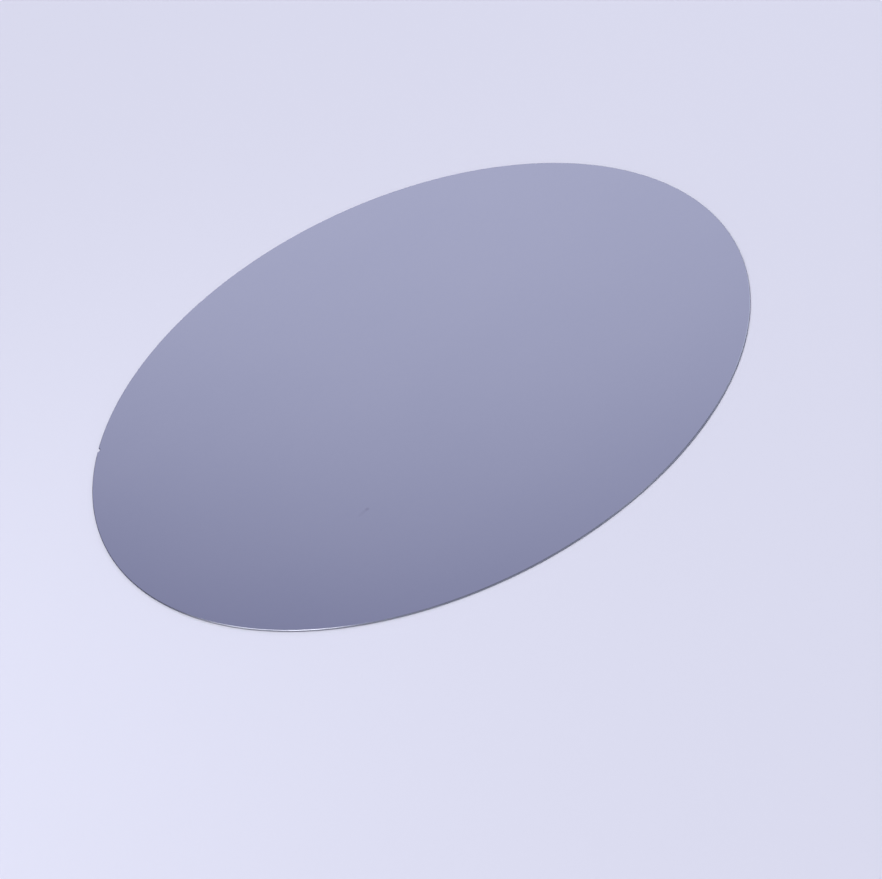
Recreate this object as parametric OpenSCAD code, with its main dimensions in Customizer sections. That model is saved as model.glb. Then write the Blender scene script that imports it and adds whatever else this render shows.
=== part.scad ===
// Silicon wafer, 300 mm: one thin round slice of single-crystal silicon.
// Both faces are flat, the rim is ground all the way round to a bevelled,
// rounded edge, and one small V notch marks the crystal's direction.
//
// Millimetres. The wafer lies flat: the back face is on z = 0, the polished
// front face looks up along +Z, the wafer's axis is the Z axis, and the notch
// is on the -Y side.

/* [Wafer] */
// Diameter of the wafer, rim to rim
wafer_d = 300; // [200:50:300]
// Thickness between the front and back faces
wafer_t = 0.775; // [0.7:0.025:0.9]

/* [Edge] */
// Angle between the ground bevel and the face it starts from
bevel_angle = 22; // [18:1:28]
// Height that each bevel takes off its face before the round nose begins
bevel_h = 0.055; // [0.02:0.005:0.08]
// Radius that blends each bevel into the straight land at the rim
nose_r = 0.25; // [0.1:0.01:0.25]

/* [Notch] */
// Depth of the notch, from the rim to its rounded bottom
notch_depth = 1; // [1:0.05:1.25]
// Radius at the bottom of the notch
notch_r = 1; // [0.9:0.05:1.2]
// Radius that turns each flank of the notch into the rim, to about 0.01
notch_corner_r = 0.9; // [0.9:0.05:1.1]

/* [Colour] */
// Colour of the polished silicon: red, green and blue
silicon = [0.60, 0.61, 0.73]; // [0:0.01:1]

/* [Hidden] */

wafer_r = wafer_d / 2;

// Steps in each nose radius of the edge profile
nose_steps = 8;
// Segments round the rim, and round the notch's small radii
rim_fn = 720;
notch_fn = 96;

// Straight land left at the rim between the two nose radii
land_h = wafer_t - 2 * (bevel_h + nose_r * cos(bevel_angle));
// Width of the whole ground edge, from the rim to the flat of a face
edge_w = nose_r * (1 - sin(bevel_angle)) + bevel_h / tan(bevel_angle);

// Band of full section along the notch's edge, and the line inside that band,
// clear of the ground edge, where the rest of the wafer takes over
band_w = notch_corner_r - 0.2;
joint_w = (edge_w + band_w) / 2;

// The notch's two flanks are square to each other, so it is laid out with one
// flank along X and one along Y, and its middle on the diagonal at -135
// degrees. wafer() then turns it to -Y. Its bottom radius is centred at [-b, -b].
b = (wafer_r - notch_depth + notch_r) / sqrt(2);

// Direction of the corner radius's centre from the wafer's centre, rounded to
// a thousandth of a degree, as an angle from the middle of the notch
corner_x = notch_r + notch_corner_r - b;
corner_y = -sqrt(pow(wafer_r - notch_corner_r, 2) - pow(corner_x, 2));
corner_at = round(1000 * (135 + atan2(corner_y, corner_x))) / 1000;
// The corner radius that is tangent to both the rim and the flank at that
// angle, and how far along the flank its centre is from the bottom radius's
corner_r = (wafer_r * cos(corner_at - 135) + b - notch_r) / (1 + cos(corner_at - 135));
flank_l = (corner_r - wafer_r) * sin(corner_at - 135) - b;

// The ground edge in section, from the back face round the rim to the front
// face. x is 0 at the rim and negative towards the material.
function nose(z, from, to) = [for (i = [0 : nose_steps])
    let (a = from + (to - from) * i / nose_steps)
    [nose_r * (cos(a) - 1), z + nose_r * sin(a)]];

edge = concat(
    [[-edge_w, 0]],
    nose((wafer_t - land_h) / 2, bevel_angle - 90, 0),
    nose((wafer_t + land_h) / 2, 0, 90 - bevel_angle),
    [[-edge_w, wafer_t]]);

// Full section of the wafer, from the rim to depth w inside it
module section(w) {
    polygon(concat([[-w, 0]], edge, [[-w, wafer_t]]));
}

// Moves in a coarse step and then a fine one, so that tangent pieces meet to
// the last digit
module place(x, y) {
    cx = round(x * 1000) / 1000;
    cy = round(y * 1000) / 1000;
    translate([cx, cy, 0]) translate([x - cx, y - cy, 0]) children();
}

// The wafer, all but the thin slice that holds the notch
module disc() {
    rotate_extrude(start = corner_at - 135, angle = 360 - 2 * corner_at, $fn = rim_fn)
        translate([wafer_r, 0]) section(wafer_r);
}

// That slice, short of the rim, with room cut out for the notch and its band
module slice() {
    m = notch_r + joint_w;
    difference() {
        rotate_extrude(start = -135 - corner_at, angle = 2 * corner_at, $fn = rim_fn)
            square([wafer_r - joint_w, wafer_t]);
        place(-b, -b) translate([0, 0, -1]) linear_extrude(wafer_t + 2)
            polygon(concat([[m, -6]], [for (a = [0 : 15 : 90]) m * [cos(a), sin(a)]],
                           [[-6, m], [-6, -6]]));
    }
}

// Rounded bottom of the notch, with the ground edge facing its centre
module notch_bottom() {
    place(-b, -b)
        rotate_extrude(start = 0, angle = 90, $fn = notch_fn)
            translate([notch_r, 0]) mirror([1, 0]) section(band_w);
}

// One straight flank and the corner that turns it into the rim
module notch_side() {
    place(-b, -b) {
        intersection() {
            rotate([90, 0, 0]) linear_extrude(4)
                translate([notch_r, 0]) mirror([1, 0]) section(band_w);
            place(0, -flank_l) translate([0, 0, -1]) cube([4, 4, wafer_t + 2]);
        }
        place(notch_r + corner_r, -flank_l)
            rotate_extrude(start = -180, angle = 45 + corner_at, $fn = notch_fn)
                place(corner_r, 0) section(band_w);
    }
}

module wafer() {
    color(silicon) rotate([0, 0, 45]) union() {
        disc();
        slice();
        notch_bottom();
        notch_side();
        mirror([1, -1, 0]) notch_side();
    }
}

wafer();
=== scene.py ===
import math

import bpy
from mathutils import Matrix, Vector


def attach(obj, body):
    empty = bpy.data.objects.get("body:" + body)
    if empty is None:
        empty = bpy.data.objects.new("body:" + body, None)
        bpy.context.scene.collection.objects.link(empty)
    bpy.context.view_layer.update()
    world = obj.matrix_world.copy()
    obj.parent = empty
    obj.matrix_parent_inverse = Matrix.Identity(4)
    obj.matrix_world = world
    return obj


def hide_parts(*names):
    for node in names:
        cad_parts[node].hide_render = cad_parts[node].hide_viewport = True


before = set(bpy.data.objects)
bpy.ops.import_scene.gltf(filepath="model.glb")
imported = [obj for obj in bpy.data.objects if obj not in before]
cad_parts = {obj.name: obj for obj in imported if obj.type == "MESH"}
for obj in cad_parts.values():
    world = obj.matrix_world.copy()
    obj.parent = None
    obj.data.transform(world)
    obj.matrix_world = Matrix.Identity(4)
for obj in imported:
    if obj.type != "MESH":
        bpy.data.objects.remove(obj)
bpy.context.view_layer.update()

# ---------------------------------------------------------------------------
# The wafer, in the CAD frame: back face on z = 0, notch on the -Y side.
# The numbers are part.scad's, in millimetres, and the mesh is in metres.

MM = 0.001
R = 150.0           # wafer radius
T = 0.775           # thickness
BEVEL_ANGLE = 22.0  # ground bevel, from the face
BEVEL_H = 0.055     # height of each bevel
NOSE_R = 0.25       # radius between bevel and straight land
NOTCH_R = 1.0       # radius at the bottom of the notch
NOTCH_DEPTH = 1.0
CORNER_R = 0.9026   # radius between a flank of the notch and the rim

RIM_STEPS = 1440
CORNER_STEPS = 14
FLANK_STEPS = 4
BOTTOM_STEPS = 24
NOSE_STEPS = 10


def edge_section():
    """The ground edge from the back face round to the front face, as (depth into the material, z)."""
    a = math.radians(90 - BEVEL_ANGLE)
    edge_w = NOSE_R * (1 - math.sin(math.radians(BEVEL_ANGLE))) + BEVEL_H / math.tan(math.radians(BEVEL_ANGLE))
    low = BEVEL_H + NOSE_R * math.sin(a)
    points = [(edge_w, 0.0)]
    for i in range(NOSE_STEPS + 1):
        t = -a + a * i / NOSE_STEPS
        points.append((NOSE_R * (1 - math.cos(t)), low + NOSE_R * math.sin(t)))
    for i in range(NOSE_STEPS + 1):
        t = a * i / NOSE_STEPS
        points.append((NOSE_R * (1 - math.cos(t)), T - low + NOSE_R * math.sin(t)))
    points.append((edge_w, T))
    return points


def outline():
    """The wafer's outline, counter-clockwise from the right side of the notch, as (point, direction into the material)."""
    c0 = Vector((0.0, -(R - NOTCH_DEPTH + NOTCH_R)))
    a = NOTCH_R + CORNER_R
    # how far along the flank the corner's centre is, so that the corner is tangent to the rim
    half = c0.y * math.sqrt(0.5)
    k = a * a + 2 * a * half + c0.y * c0.y - (R - CORNER_R) ** 2
    run = half + math.sqrt(half * half - k)
    s = math.sqrt(0.5)
    centre = c0 + Vector((s, s)) * a + Vector((s, -s)) * run
    rim_from = math.atan2(centre.y, centre.x)
    points = []
    sweep = 2 * math.pi - 2 * (rim_from + math.pi / 2)
    for i in range(RIM_STEPS):
        t = rim_from + sweep * i / RIM_STEPS
        d = Vector((math.cos(t), math.sin(t)))
        points.append((d * R, -d))
    # right half of the notch, from the rim to its bottom
    half_notch = []
    flank = math.radians(225)
    rim_at = rim_from + 2 * math.pi
    for i in range(CORNER_STEPS):
        t = rim_at + (flank - rim_at) * i / CORNER_STEPS
        d = Vector((math.cos(t), math.sin(t)))
        half_notch.append((centre + d * CORNER_R, -d))
    for i in range(FLANK_STEPS):
        p = c0 + Vector((s, s)) * NOTCH_R + Vector((s, -s)) * (run * (1 - i / FLANK_STEPS))
        half_notch.append((p, Vector((s, s))))
    for i in range(BOTTOM_STEPS // 2):
        t = math.radians(45) + math.radians(45) * i / (BOTTOM_STEPS // 2)
        d = Vector((math.cos(t), math.sin(t)))
        half_notch.append((c0 + d * NOTCH_R, d))
    flip = [(Vector((-p.x, p.y)), Vector((-n.x, n.y))) for p, n in half_notch]
    bottom = (c0 + Vector((0, NOTCH_R)), Vector((0, 1)))
    points += flip + [bottom] + half_notch[:0:-1]
    return points


def wafer_mesh(name):
    section = edge_section()
    loop = outline()
    count = len(loop)
    verts, faces, slots = [], [], []
    # the ground edge: one ring of vertices for each point of its section
    for depth, z in section:
        for p, n in loop:
            q = p + n * depth
            verts.append((q.x, q.y, z))
    for k in range(len(section) - 1):
        for i in range(count):
            j = (i + 1) % count
            faces.append((k * count + i, k * count + j, (k + 1) * count + j, (k + 1) * count + i))
            slots.append(1)
    # each face: concentric rings, coarser towards the centre
    rings = ((148.2, 0), (147.0, 720), (144.6, 360), (139.5, 180), (130.0, 90), (112.0, 60), (84.0, 48), (48.0, 24))
    for z, first, slot in ((T, (len(section) - 1) * count, 0), (0.0, 0, 2)):
        outer = [(first + i) for i in range(count)]
        for radius, steps in rings:
            start = len(verts)
            if steps == 0:
                angles = [math.atan2(verts[i][1], verts[i][0]) for i in outer]
            else:
                angles = [-math.pi / 2 + 2 * math.pi * i / steps for i in range(steps)]
            verts.extend((radius * math.cos(t), radius * math.sin(t), z) for t in angles)
            inner = list(range(start, len(verts)))
            if steps == 0:
                made = [(outer[i], outer[(i + 1) % count], inner[(i + 1) % count], inner[i]) for i in range(count)]
            else:
                made = zip_rings(verts, outer, inner)
            faces.extend(made if slot == 0 else [f[::-1] for f in made])
            slots.extend([slot] * len(made))
            outer = inner
        verts.append((0.0, 0.0, z))
        hub = len(verts) - 1
        made = [(outer[i], outer[(i + 1) % len(outer)], hub) for i in range(len(outer))]
        faces.extend(made if slot == 0 else [f[::-1] for f in made])
        slots.extend([slot] * len(made))
    mesh = bpy.data.meshes.new(name)
    mesh.from_pydata([(x * MM, y * MM, z * MM) for x, y, z in verts], [], faces)
    mesh.polygons.foreach_set("material_index", slots)
    mesh.polygons.foreach_set("use_smooth", [True] * len(faces))
    # the crisp line where each bevel starts from its face
    flat_rings = (range(count), range((len(section) - 1) * count, len(section) * count))
    crisp = {frozenset((ring[i], ring[(i + 1) % count])) for ring in flat_rings for i in range(count)}
    for e in mesh.edges:
        if frozenset(e.vertices) in crisp:
            e.use_edge_sharp = True
    mesh.validate()
    mesh.update()
    bake_map(mesh, section, loop)
    return mesh


def bake_map(mesh, section, loop):
    """The map that the export bakes through: the front face large, the ground edge unrolled as a band round it with
    room across its section, and the back face smaller in the corner."""
    across = [0.0]
    for (d0, z0), (d1, z1) in zip(section[:0:-1], section[-2::-1]):
        across.append(across[-1] + math.hypot(d1 - d0, z1 - z0))
    across.reverse()  # how far each point of the section is from the front face
    spots = []
    for face in mesh.polygons:
        for v in face.vertices:
            if face.material_index == 1:
                k, i = divmod(v, len(loop))
                at, size, p = 0.375, 0.336 + 0.0365 * across[k] / across[0], loop[i][0] / R
            else:
                at, size = (0.375, 0.328) if face.material_index == 0 else (0.795, 0.2)
                p = mesh.vertices[v].co / (R * MM)
            spots += (at + p.x * size, at + p.y * size)
    mesh.uv_layers.new(name="OFBake", do_init=False).uv.foreach_set("vector", spots)


def zip_rings(verts, outer, inner):
    """Triangles between two rings about the axis, by angle, counter-clockwise."""
    def turn(i, base):
        a = math.atan2(verts[i][1], verts[i][0]) - base
        return a % (2 * math.pi)

    base = math.atan2(verts[inner[0]][1], verts[inner[0]][0])
    start = min(range(len(outer)), key=lambda i: min(turn(outer[i], base), 2 * math.pi - turn(outer[i], base)))
    outer = outer[start:] + outer[:start]
    a = [turn(i, base) for i in outer] + [2 * math.pi]
    a[0] = 0.0
    b = [turn(i, base) for i in inner] + [2 * math.pi]
    b[0] = 0.0
    made, i, j = [], 0, 0
    while i < len(outer) or j < len(inner):
        if j == len(inner) or (i < len(outer) and a[i + 1] <= b[j + 1]):
            made.append((outer[i], outer[(i + 1) % len(outer)], inner[j % len(inner)]))
            i += 1
        else:
            made.append((outer[i % len(outer)], inner[(j + 1) % len(inner)], inner[j]))
            j += 1
    return made


# ---------------------------------------------------------------------------
# Node helpers

def new_material(name):
    m = bpy.data.materials.new(name)
    m.use_nodes = True
    m.node_tree.nodes.clear()
    nt = m.node_tree
    out = nt.nodes.new("ShaderNodeOutputMaterial")
    bsdf = nt.nodes.new("ShaderNodeBsdfPrincipled")
    nt.links.new(bsdf.outputs[0], out.inputs["Surface"])
    return m, nt, bsdf


def plug(nt, value, socket):
    if isinstance(value, bpy.types.NodeSocket):
        nt.links.new(value, socket)
    else:
        socket.default_value = value


def maths(nt, operation, a, b=0.0, c=0.0, clamp=False):
    n = nt.nodes.new("ShaderNodeMath")
    n.operation = operation
    n.use_clamp = clamp
    for socket, value in zip(n.inputs, (a, b, c)):
        plug(nt, value, socket)
    return n.outputs[0]


def vectors(nt, operation, a, b=(0.0, 0.0, 0.0), scale=1.0):
    n = nt.nodes.new("ShaderNodeVectorMath")
    n.operation = operation
    plug(nt, a, n.inputs[0])
    plug(nt, b, n.inputs[1])
    if operation == "SCALE":
        plug(nt, scale, n.inputs["Scale"])
    return n.outputs["Value"] if operation in ("DOT_PRODUCT", "DISTANCE", "LENGTH") else n.outputs["Vector"]


def spread(nt, value, from_low, from_high, to_low, to_high, smooth=False):
    n = nt.nodes.new("ShaderNodeMapRange")
    n.interpolation_type = "SMOOTHSTEP" if smooth else "LINEAR"
    plug(nt, value, n.inputs["Value"])
    for name, v in (("From Min", from_low), ("From Max", from_high), ("To Min", to_low), ("To Max", to_high)):
        plug(nt, v, n.inputs[name])
    return n.outputs["Result"]


def blend_colours(nt, factor, a, b):
    n = nt.nodes.new("ShaderNodeMix")
    n.data_type = "RGBA"
    plug(nt, factor, n.inputs[0])
    plug(nt, a, n.inputs[6])
    plug(nt, b, n.inputs[7])
    return n.outputs[2]


def noise(nt, vector, scale, detail=2.0, roughness=0.5):
    n = nt.nodes.new("ShaderNodeTexNoise")
    plug(nt, vector, n.inputs["Vector"])
    n.inputs["Scale"].default_value = scale
    n.inputs["Detail"].default_value = detail
    n.inputs["Roughness"].default_value = roughness
    return n.outputs["Fac"]


def here(nt):
    return nt.nodes.new("ShaderNodeTexCoord").outputs["Object"]


def scaled(nt, vector, scale):
    n = nt.nodes.new("ShaderNodeMapping")
    nt.links.new(vector, n.inputs["Vector"])
    n.inputs["Scale"].default_value = scale
    return n.outputs["Vector"]


# ---------------------------------------------------------------------------
# Materials

def polished_silicon():
    """Mirror polish: silicon's own reflectance, hardly any haze, and the one speck that the photo shows."""
    m, nt, bsdf = new_material("polished_silicon")
    bsdf.inputs["Metallic"].default_value = 1.0
    place = here(nt)
    cloud = noise(nt, place, 14.0, 3.0)
    fine = noise(nt, place, 260.0, 4.0, 0.6)
    both = maths(nt, "ADD", maths(nt, "MULTIPLY", cloud, 0.7), maths(nt, "MULTIPLY", fine, 0.3))
    colour = blend_colours(nt, spread(nt, both, 0.35, 0.65, 0.0, 1.0), (0.338, 0.360, 0.414, 1), (0.346, 0.367, 0.419, 1))
    # a speck of dust
    away = vectors(nt, "DISTANCE", place, SPECK)
    ragged = maths(nt, "ADD", away, maths(nt, "MULTIPLY", noise(nt, place, 2600.0, 2.0), 0.0005))
    dust = spread(nt, ragged, 0.00050, 0.00170, 1.0, 0.0, smooth=True)
    # and the faint smear that trails from it
    run = SMEAR - Vector(SPECK)
    off = vectors(nt, "SUBTRACT", place, SPECK)
    along = maths(nt, "DIVIDE", vectors(nt, "DOT_PRODUCT", off, run.normalized()), run.length)
    held = maths(nt, "MINIMUM", maths(nt, "MAXIMUM", along, 0.0), 1.0)
    from_line = vectors(nt, "LENGTH", vectors(nt, "SUBTRACT", off, vectors(nt, "SCALE", run, scale=held)))
    smear = spread(nt, from_line, 0.00000, 0.00150, 1.0, 0.0, smooth=True)
    smear = maths(nt, "MULTIPLY", smear, spread(nt, held, 0.0, 1.0, 0.38, 0.22))
    colour = blend_colours(nt, maths(nt, "MAXIMUM", maths(nt, "MULTIPLY", dust, 0.65), smear), colour, (0.280, 0.287, 0.338, 1))
    nt.links.new(colour, bsdf.inputs["Base Color"])
    haze = spread(nt, both, 0.3, 0.7, 0.022, 0.042)
    nt.links.new(maths(nt, "MAXIMUM", haze, maths(nt, "MULTIPLY", dust, 0.2)), bsdf.inputs["Roughness"])
    return m


def ground_edge():
    """Fine-ground silicon: darker than the polished faces, with grinding lines that run round the rim."""
    m, nt, bsdf = new_material("ground_silicon")
    bsdf.inputs["Metallic"].default_value = 1.0
    place = here(nt)
    lines = noise(nt, scaled(nt, place, (1.0, 1.0, 260.0)), 90.0, 4.0, 0.65)
    grain = noise(nt, place, 5200.0, 3.0, 0.6)
    patch = noise(nt, place, 45.0, 3.0)
    marks = maths(nt, "ADD", maths(nt, "MULTIPLY", lines, 0.5), maths(nt, "ADD", maths(nt, "MULTIPLY", grain, 0.3), maths(nt, "MULTIPLY", patch, 0.2)))
    colour = blend_colours(nt, spread(nt, marks, 0.36, 0.64, 0.0, 1.0), (0.270, 0.288, 0.336, 1), (0.322, 0.342, 0.395, 1))
    nt.links.new(colour, bsdf.inputs["Base Color"])
    nt.links.new(spread(nt, marks, 0.36, 0.64, 0.16, 0.26), bsdf.inputs["Roughness"])
    return m


def back_silicon():
    """The hidden back face: the same silicon with a plainer, slightly hazy polish."""
    m, nt, bsdf = new_material("back_silicon")
    bsdf.inputs["Metallic"].default_value = 1.0
    place = here(nt)
    cloud = noise(nt, place, 22.0, 4.0)
    fine = noise(nt, place, 900.0, 3.0, 0.6)
    both = maths(nt, "ADD", maths(nt, "MULTIPLY", cloud, 0.5), maths(nt, "MULTIPLY", fine, 0.5))
    colour = blend_colours(nt, spread(nt, both, 0.35, 0.65, 0.0, 1.0), (0.300, 0.318, 0.365, 1), (0.330, 0.350, 0.400, 1))
    nt.links.new(colour, bsdf.inputs["Base Color"])
    nt.links.new(spread(nt, both, 0.3, 0.7, 0.12, 0.20), bsdf.inputs["Roughness"])
    return m


def pale_floor():
    m, nt, bsdf = new_material("pale_floor")
    place = here(nt)
    mottle = noise(nt, place, 3.0, 2.0)
    tooth = noise(nt, place, 900.0, 2.0)
    both = maths(nt, "ADD", maths(nt, "MULTIPLY", mottle, 0.6), maths(nt, "MULTIPLY", tooth, 0.4))
    colour = blend_colours(nt, both, FLOOR_LOW, FLOOR_HIGH)
    nt.links.new(colour, bsdf.inputs["Base Color"])
    bsdf.inputs["Roughness"].default_value = 0.75
    bsdf.inputs["Specular IOR Level"].default_value = 0.2
    return m


# ---------------------------------------------------------------------------
# Scene numbers

# Where the photo's speck is on the front face
SPECK = (0.0824, -0.0127, T * MM)
SMEAR = Vector((0.0851, -0.0155, T * MM))
FLOOR_LOW, FLOOR_HIGH = (0.700, 0.713, 0.771, 1), (0.718, 0.731, 0.790, 1)

# The photograph's camera, solved from the wafer's outline and notch for a 97 mm lens
CAM_AT = Vector((0.79695017, 0.27764825, 0.58551236))
CAM_RIGHT = Vector((-0.06427170, 0.93947974, -0.33652186))
CAM_UP = Vector((-0.64689251, 0.21755019, 0.73089124))
CAM_BACK = Vector((0.75986791, 0.26466909, 0.59376008))
LENS = 97.1193

# The far wall that the wafer mirrors
WALL = {"from": 0.0599, "slope": 8.452, "side": -0.448, "ends": 12.25,
        "low": (0.276, 0.274, 0.511, 1), "high": (1.079, 1.060, 1.329, 1)}
# The rest of the room: as pale as the floor round the horizon, and overhead it is brighter on one side than the other
ROOM = {"spread": math.radians(28), "horizon": (0.700, 0.704, 0.859, 1), "walls": (0.74, 0.74, 0.92, 1),
        "bright": (139.0, 0.0), "tilt": 1.1}
# Soft patches of it. Three are dark: the rim mirrors the first at its left end, the second on its near side and the
# third on its near right, as in the photograph. The fourth is bright, and ends the third's dark line towards the far
# right. The last two, one darker and one brighter, only show from other sides.
PATCHES = ({"at": (-116.0, 17.0), "core": 26.0, "out": 40.0, "colour": (0.10, 0.10, 0.135, 1)},
           {"at": (19.0, 54.0), "core": 24.0, "out": 46.0, "colour": (0.22, 0.22, 0.28, 1)},
           {"at": (112.0, 56.0), "core": 13.0, "out": 24.0, "colour": (0.08, 0.08, 0.11, 1)},
           {"at": (156.0, 37.0), "core": 5.0, "out": 18.0, "colour": (1.60, 1.60, 1.90, 1)},
           {"at": (120.0, 31.0), "core": 2.0, "out": 18.0, "colour": (0.46, 0.46, 0.58, 1)},
           {"at": (-21.0, 11.0), "core": 5.0, "out": 30.0, "colour": (0.98, 0.98, 1.19, 1)})
# Long soft lights, each reaching from one direction to another as the wafer sees them: the main one, which makes
# the highlight on the near left of the rim, a weaker one beside it, and a dim one, which lightens the near right
STRIPS = ({"name": "strip", "about": (0.146, -0.034, 0.0), "from": (-43.8, 30.4), "to": (-102.8, 63.4),
           "distance": 3.0, "width": 0.36, "brightness": 7.8, "colour": (1.0, 0.93, 0.90)},
          {"name": "beside", "about": (0.142, -0.050, 0.0), "from": (-61.5, 21.5), "to": (-110.5, 53.5),
           "distance": 3.1, "width": 0.50, "brightness": 3.3, "colour": (1.0, 0.95, 0.94)},
          {"name": "glint", "about": (0.112, 0.099, 0.0), "from": (139.0, 69.0), "to": (86.0, 55.0),
           "distance": 3.0, "width": 0.42, "brightness": 1.5, "colour": (1.0, 1.0, 1.1)})


# The light that falls on the floor alone
OVERHEAD = 1.61
POOL = {"at": (0.25, -0.35), "radius": 0.42, "brightness": 0.19, "colour": (0.97, 1.0, 1.10)}


def camera():
    data = bpy.data.cameras.new("camera")
    data.sensor_fit = "HORIZONTAL"
    data.sensor_width = 36.0
    data.lens = LENS
    data.clip_start, data.clip_end = 0.01, 400.0
    ob = bpy.data.objects.new("camera", data)
    turn = Matrix((CAM_RIGHT, CAM_UP, CAM_BACK)).transposed().to_4x4()
    ob.matrix_world = Matrix.Translation(CAM_AT) @ turn
    bpy.context.scene.collection.objects.link(ob)
    bpy.context.scene.camera = ob
    return ob


def floor():
    """A large round floor, with its height exactly at the wafer's back face."""
    n, far = 96, 60.0
    verts = [(0, 0, 0)] + [(far * math.cos(2 * math.pi * i / n), far * math.sin(2 * math.pi * i / n), 0) for i in range(n)]
    mesh = bpy.data.meshes.new("floor")
    mesh.from_pydata(verts, [], [(0, 1 + i, 1 + (i + 1) % n) for i in range(n)])
    mesh.update()
    ob = bpy.data.objects.new("floor", mesh)
    bpy.context.scene.collection.objects.link(ob)
    mesh.materials.append(pale_floor())
    return ob


def toward(azimuth, elevation):
    a, e = math.radians(azimuth), math.radians(elevation)
    return Vector((math.cos(e) * math.cos(a), math.cos(e) * math.sin(a), math.sin(e)))


def lamp(kind, name, at, back, colour, energy):
    data = bpy.data.lights.new(name, kind)
    data.color = colour
    data.energy = energy
    ob = bpy.data.objects.new(name, data)
    ob.matrix_world = Matrix.Translation(at) @ back.to_track_quat("Z", "Y").to_matrix().to_4x4()
    bpy.context.scene.collection.objects.link(ob)
    ob.visible_camera = False
    return ob


def strip_light(strip):
    """A long soft light that faces a point near the rim, and only shows in reflections."""
    a, b = toward(*strip["from"]) * strip["distance"], toward(*strip["to"]) * strip["distance"]
    back = (a + b).normalized()
    along = (b - a - back * (b - a).dot(back)).normalized()
    size, width = (b - a).length, strip["width"]
    ob = lamp("AREA", strip["name"], Vector(), back, strip["colour"], strip["brightness"] * math.pi * size * width)
    ob.data.shape = "RECTANGLE"
    ob.data.size, ob.data.size_y = size, width
    turn = Matrix((along, back.cross(along), back)).transposed().to_4x4()
    ob.matrix_world = Matrix.Translation(Vector(strip["about"]) + (a + b) / 2) @ turn
    ob.visible_diffuse = False


def floor_lights():
    """An even soft light from overhead, and a soft pool of light on the near left, where the photograph's floor is
    palest. Neither shows in the wafer, which mirrors the room alone."""
    high = toward(-75.0, 75.0)
    even = lamp("SUN", "overhead", high, high, (1.0, 0.98, 0.97), OVERHEAD)
    even.data.angle = math.radians(35)
    height = 1.4
    pool = lamp("SPOT", "pool", Vector((POOL["at"][0], POOL["at"][1], height)), Vector((0.0, 0.0, 1.0)), POOL["colour"],
                POOL["brightness"] * math.pi * 4 * math.pi * height ** 2)
    pool.data.spot_size = 2 * math.atan(POOL["radius"] / height)
    pool.data.spot_blend = 1.0
    pool.data.shadow_soft_size = 0.25
    for ob in (even, pool):
        ob.visible_glossy = False


def studio():
    """The room's light, by direction, with the far wall's own falloff where the photograph's camera sees it
    mirrored in the wafer."""
    world = bpy.data.worlds.new("studio")
    bpy.context.scene.world = world
    world.use_nodes = True
    nt = world.node_tree
    nt.nodes.clear()
    out = nt.nodes.new("ShaderNodeOutputWorld")
    bg = nt.nodes.new("ShaderNodeBackground")
    nt.links.new(bg.outputs[0], out.inputs["Surface"])
    way = nt.nodes.new("ShaderNodeTexCoord").outputs["Generated"]
    # the far wall, laid out along the mirrored up and right of the photograph
    flip = Vector((1.0, 1.0, -1.0))
    s = vectors(nt, "DOT_PRODUCT", way, CAM_UP * flip)
    q = vectors(nt, "DOT_PRODUCT", way, CAM_RIGHT * flip)
    rise = maths(nt, "MULTIPLY", maths(nt, "ADD", s, WALL["from"]), WALL["slope"])
    rise = maths(nt, "MULTIPLY_ADD", q, WALL["side"], rise)
    rise = maths(nt, "MULTIPLY_ADD", maths(nt, "MULTIPLY", q, q), -WALL["ends"], rise)
    level = maths(nt, "MULTIPLY_ADD", maths(nt, "TANH", rise), 0.5, 0.5)
    wall = blend_colours(nt, level, WALL["low"], WALL["high"])
    # the rest of the room
    height = maths(nt, "MAXIMUM", vectors(nt, "DOT_PRODUCT", way, (0.0, 0.0, 1.0)), 0.0)
    up = maths(nt, "DIVIDE", maths(nt, "ARCSINE", height), ROOM["spread"])
    fall = maths(nt, "EXPONENT", maths(nt, "MULTIPLY", maths(nt, "MULTIPLY", up, up), -1.0))
    room = blend_colours(nt, fall, ROOM["walls"], ROOM["horizon"])
    lean = maths(nt, "MULTIPLY", height, vectors(nt, "DOT_PRODUCT", way, toward(*ROOM["bright"])))
    room = vectors(nt, "SCALE", room, scale=maths(nt, "MULTIPLY_ADD", lean, ROOM["tilt"], 1.0))
    for patch in PATCHES:
        side = vectors(nt, "DOT_PRODUCT", way, toward(*patch["at"]))
        edge = [math.cos(math.radians(patch[k])) for k in ("out", "core")]
        room = blend_colours(nt, spread(nt, side, *edge, 0.0, 1.0, smooth=True), room, patch["colour"])
    near = vectors(nt, "DOT_PRODUCT", way, CAM_BACK * flip * -1.0)
    share = spread(nt, near, math.cos(math.radians(34)), math.cos(math.radians(11)), 0.0, 1.0, smooth=True)
    nt.links.new(blend_colours(nt, share, room, wall), bg.inputs["Color"])
    bg.inputs["Strength"].default_value = 1.0


# ---------------------------------------------------------------------------

camera()

mesh = wafer_mesh("wafer_disc")
wafer = bpy.data.objects.new("wafer_disc", mesh)
bpy.context.scene.collection.objects.link(wafer)
for made in (polished_silicon(), ground_edge(), back_silicon()):
    mesh.materials.append(made)
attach(wafer, "root")
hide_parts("wafer")

floor()
studio()
floor_lights()
for strip in STRIPS:
    strip_light(strip)

bpy.context.scene.view_settings.view_transform = "Standard"
bpy.context.scene.view_settings.look = "None"
